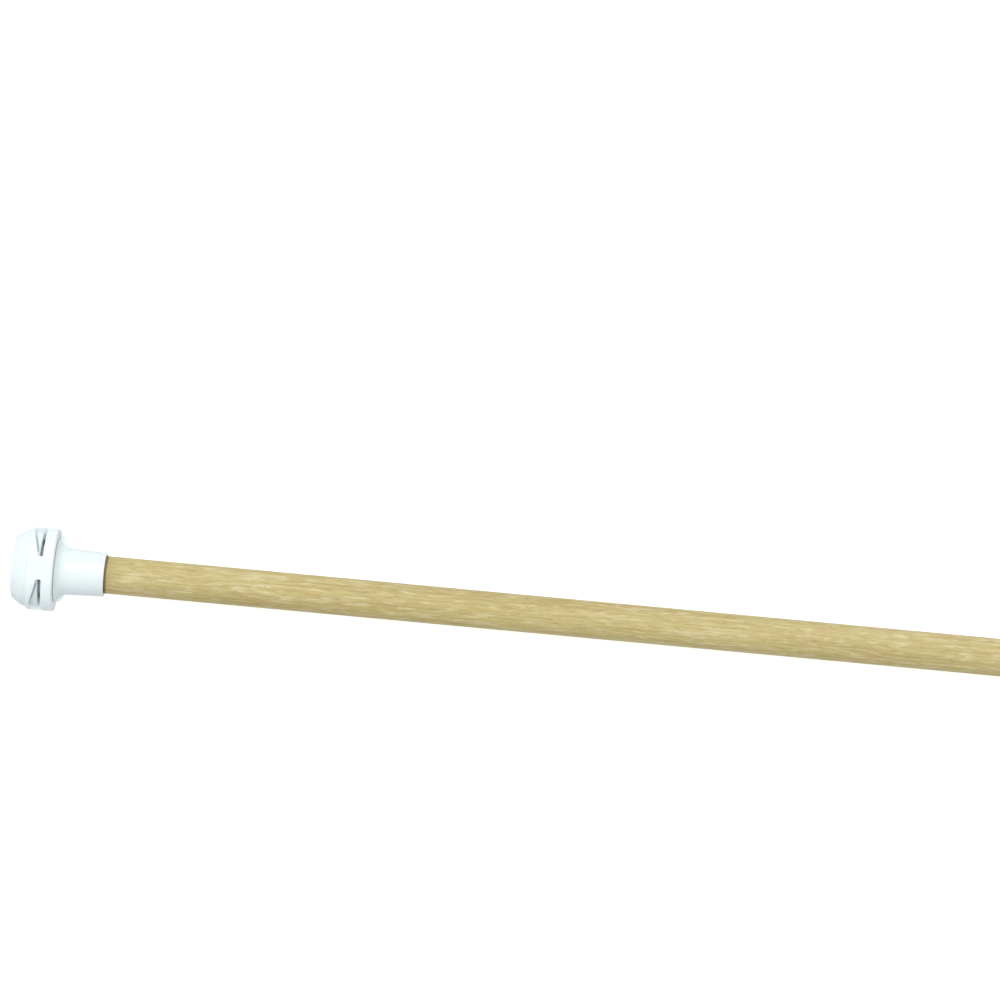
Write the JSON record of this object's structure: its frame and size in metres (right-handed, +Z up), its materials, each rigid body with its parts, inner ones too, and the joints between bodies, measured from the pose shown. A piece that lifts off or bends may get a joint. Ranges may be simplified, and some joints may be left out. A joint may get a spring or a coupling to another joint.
{
  "type": "roller extension pole",
  "caption": "Straight round wooden pole with a white moulded clamp head that grips a paint roller's handle.",
  "frame": {"origin": "centre of the base: half-way along the pole, below its axis, on the surface that the clamp nut's lower flat rests on", "axes": "+X along the pole from the head to the bare end, +Y across the pole, +Z up"},
  "size_m": [1.261, 0.055, 0.055],
  "materials": {
    "beech": "sanded smooth, unvarnished",
    "white_plastic": "moulded, satin gloss",
    "collet_plastic": "moulded, matte",
    "zinc_steel": "bright zinc plated"
  },
  "bodies": {
    "pole_assembly": {"pole": "beech", "socket": "white_plastic", "fixing_screw": "zinc_steel", "screw_washer": "zinc_steel"},
    "gripping_collet": {"collet": "collet_plastic"},
    "nut": {"clamp_nut": "white_plastic"}
  },
  "joints": [
    {"name": "collet_slide", "type": "slide", "parent": "pole_assembly", "child": "gripping_collet", "axis": [-1, 0, 0], "range_m": [0, 0.0076]},
    {"name": "nut_turn", "type": "hinge", "parent": "gripping_collet", "child": "nut", "pos_m": [-0.6115, 0, 0.0275], "axis": [-1, 0, 0], "range_deg": [0, 540]}
  ],
  "couplings": [
    {"joint": "collet_slide", "follows": "nut_turn", "m_per_rad": 0.00079577}
  ]
}
